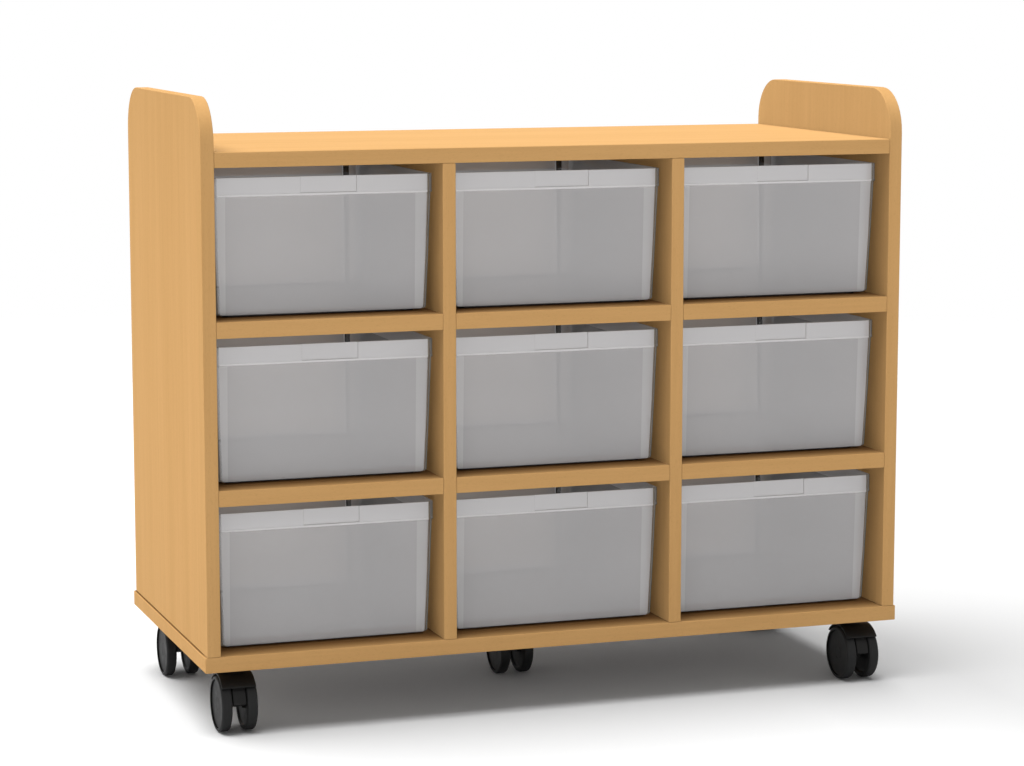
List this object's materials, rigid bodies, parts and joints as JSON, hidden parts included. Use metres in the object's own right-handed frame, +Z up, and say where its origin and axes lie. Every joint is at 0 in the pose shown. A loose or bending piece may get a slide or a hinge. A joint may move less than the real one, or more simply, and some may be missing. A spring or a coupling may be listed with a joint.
{
  "type": "mobile bin cart",
  "caption": "Low wooden storage cart on twin-wheel castors, with open cells that hold clear pull-out bins and raised round-cornered sides around a flat top.",
  "frame": {"origin": "on the floor under the middle of the base panel", "axes": "+X to the cart's right as seen from the front, -Y out of the open front, +Z up"},
  "size_m": [1.0732, 0.487, 0.9008],
  "materials": {
    "board": "pale straight-grained wood face, satin clear coat",
    "bin_plastic": "clear cloudy moulded plastic, glossy",
    "castor_nylon": "black moulded nylon, satin",
    "castor_wheel": "dark grey moulded nylon disc, satin",
    "castor_steel": "black-finished steel"
  },
  "bodies": {
    "cabinet": {"left_side_panel": "board", "right_side_panel": "board", "top_panel": "board", "base_panel": "board", "back_panel": "board", "divider_left_middle": "board", "divider_middle_right": "board", "shelf_middle_left": "board", "shelf_middle_middle": "board", "shelf_middle_right": "board", "shelf_top_left": "board", "shelf_top_middle": "board", "shelf_top_right": "board", "castor_front_left_plate": "castor_steel", "castor_front_left_kingpin": "castor_steel", "castor_front_right_plate": "castor_steel", "castor_front_right_kingpin": "castor_steel", "castor_rear_left_plate": "castor_steel", "castor_rear_left_kingpin": "castor_steel", "castor_rear_right_plate": "castor_steel", "castor_rear_right_kingpin": "castor_steel", "castor_centre_plate": "castor_steel", "castor_centre_kingpin": "castor_steel"},
    "bin_bottom_left": {"bin_bottom_left": "bin_plastic"},
    "bin_bottom_middle": {"bin_bottom_middle": "bin_plastic"},
    "bin_bottom_right": {"bin_bottom_right": "bin_plastic"},
    "bin_middle_left": {"bin_middle_left": "bin_plastic"},
    "bin_middle_middle": {"bin_middle_middle": "bin_plastic"},
    "bin_middle_right": {"bin_middle_right": "bin_plastic"},
    "bin_top_left": {"bin_top_left": "bin_plastic"},
    "bin_top_middle": {"bin_top_middle": "bin_plastic"},
    "bin_top_right": {"bin_top_right": "bin_plastic"},
    "castor_front_left_swivel": {"castor_front_left_body": "castor_nylon", "castor_front_left_axle": "castor_steel"},
    "castor_front_left_wheel_left": {"castor_front_left_wheel_left": "castor_wheel"},
    "castor_front_left_wheel_right": {"castor_front_left_wheel_right": "castor_wheel"},
    "castor_front_right_swivel": {"castor_front_right_body": "castor_nylon", "castor_front_right_axle": "castor_steel"},
    "castor_front_right_wheel_left": {"castor_front_right_wheel_left": "castor_wheel"},
    "castor_front_right_wheel_right": {"castor_front_right_wheel_right": "castor_wheel"},
    "castor_rear_left_swivel": {"castor_rear_left_body": "castor_nylon", "castor_rear_left_axle": "castor_steel"},
    "castor_rear_left_wheel_left": {"castor_rear_left_wheel_left": "castor_wheel"},
    "castor_rear_left_wheel_right": {"castor_rear_left_wheel_right": "castor_wheel"},
    "castor_rear_right_swivel": {"castor_rear_right_body": "castor_nylon", "castor_rear_right_axle": "castor_steel"},
    "castor_rear_right_wheel_left": {"castor_rear_right_wheel_left": "castor_wheel"},
    "castor_rear_right_wheel_right": {"castor_rear_right_wheel_right": "castor_wheel"},
    "castor_centre_swivel": {"castor_centre_body": "castor_nylon", "castor_centre_axle": "castor_steel"},
    "castor_centre_wheel_left": {"castor_centre_wheel_left": "castor_wheel"},
    "castor_centre_wheel_right": {"castor_centre_wheel_right": "castor_wheel"}
  },
  "joints": [
    {"name": "bin_bottom_left_slide", "type": "slide", "parent": "cabinet", "child": "bin_bottom_left", "axis": [0, -1, 0], "range_m": [0, 0.3]},
    {"name": "bin_bottom_middle_slide", "type": "slide", "parent": "cabinet", "child": "bin_bottom_middle", "axis": [0, -1, 0], "range_m": [0, 0.3]},
    {"name": "bin_bottom_right_slide", "type": "slide", "parent": "cabinet", "child": "bin_bottom_right", "axis": [0, -1, 0], "range_m": [0, 0.3]},
    {"name": "bin_middle_left_slide", "type": "slide", "parent": "cabinet", "child": "bin_middle_left", "axis": [0, -1, 0], "range_m": [0, 0.3]},
    {"name": "bin_middle_middle_slide", "type": "slide", "parent": "cabinet", "child": "bin_middle_middle", "axis": [0, -1, 0], "range_m": [0, 0.3]},
    {"name": "bin_middle_right_slide", "type": "slide", "parent": "cabinet", "child": "bin_middle_right", "axis": [0, -1, 0], "range_m": [0, 0.3]},
    {"name": "bin_top_left_slide", "type": "slide", "parent": "cabinet", "child": "bin_top_left", "axis": [0, -1, 0], "range_m": [0, 0.3]},
    {"name": "bin_top_middle_slide", "type": "slide", "parent": "cabinet", "child": "bin_top_middle", "axis": [0, -1, 0], "range_m": [0, 0.3]},
    {"name": "bin_top_right_slide", "type": "slide", "parent": "cabinet", "child": "bin_top_right", "axis": [0, -1, 0], "range_m": [0, 0.3]},
    {"name": "castor_front_left_swivel", "type": "hinge", "parent": "cabinet", "child": "castor_front_left_swivel", "pos_m": [-0.4861, -0.1815, 0.09505], "axis": [0, 0, 1], "continuous": true},
    {"name": "castor_front_left_wheel_left_roll", "type": "hinge", "parent": "castor_front_left_swivel", "child": "castor_front_left_wheel_left", "pos_m": [-0.4861, -0.201, 0.04], "axis": [1, 0, 0], "continuous": true},
    {"name": "castor_front_left_wheel_right_roll", "type": "hinge", "parent": "castor_front_left_swivel", "child": "castor_front_left_wheel_right", "pos_m": [-0.4861, -0.201, 0.04], "axis": [1, 0, 0], "continuous": true},
    {"name": "castor_front_right_swivel", "type": "hinge", "parent": "cabinet", "child": "castor_front_right_swivel", "pos_m": [0.4861, -0.1815, 0.09505], "axis": [0, 0, 1], "continuous": true},
    {"name": "castor_front_right_wheel_left_roll", "type": "hinge", "parent": "castor_front_right_swivel", "child": "castor_front_right_wheel_left", "pos_m": [0.4861, -0.201, 0.04], "axis": [1, 0, 0], "continuous": true},
    {"name": "castor_front_right_wheel_right_roll", "type": "hinge", "parent": "castor_front_right_swivel", "child": "castor_front_right_wheel_right", "pos_m": [0.4861, -0.201, 0.04], "axis": [1, 0, 0], "continuous": true},
    {"name": "castor_rear_left_swivel", "type": "hinge", "parent": "cabinet", "child": "castor_rear_left_swivel", "pos_m": [-0.4861, 0.1785, 0.09505], "axis": [0, 0, 1], "continuous": true},
    {"name": "castor_rear_left_wheel_left_roll", "type": "hinge", "parent": "castor_rear_left_swivel", "child": "castor_rear_left_wheel_left", "pos_m": [-0.4861, 0.159, 0.04], "axis": [1, 0, 0], "continuous": true},
    {"name": "castor_rear_left_wheel_right_roll", "type": "hinge", "parent": "castor_rear_left_swivel", "child": "castor_rear_left_wheel_right", "pos_m": [-0.4861, 0.159, 0.04], "axis": [1, 0, 0], "continuous": true},
    {"name": "castor_rear_right_swivel", "type": "hinge", "parent": "cabinet", "child": "castor_rear_right_swivel", "pos_m": [0.4861, 0.1785, 0.09505], "axis": [0, 0, 1], "continuous": true},
    {"name": "castor_rear_right_wheel_left_roll", "type": "hinge", "parent": "castor_rear_right_swivel", "child": "castor_rear_right_wheel_left", "pos_m": [0.4861, 0.159, 0.04], "axis": [1, 0, 0], "continuous": true},
    {"name": "castor_rear_right_wheel_right_roll", "type": "hinge", "parent": "castor_rear_right_swivel", "child": "castor_rear_right_wheel_right", "pos_m": [0.4861, 0.159, 0.04], "axis": [1, 0, 0], "continuous": true},
    {"name": "castor_centre_swivel", "type": "hinge", "parent": "cabinet", "child": "castor_centre_swivel", "pos_m": [0, 0.022, 0.09505], "axis": [0, 0, 1], "continuous": true},
    {"name": "castor_centre_wheel_left_roll", "type": "hinge", "parent": "castor_centre_swivel", "child": "castor_centre_wheel_left", "pos_m": [0, 0.0025, 0.04], "axis": [1, 0, 0], "continuous": true},
    {"name": "castor_centre_wheel_right_roll", "type": "hinge", "parent": "castor_centre_swivel", "child": "castor_centre_wheel_right", "pos_m": [0, 0.0025, 0.04], "axis": [1, 0, 0], "continuous": true}
  ]
}
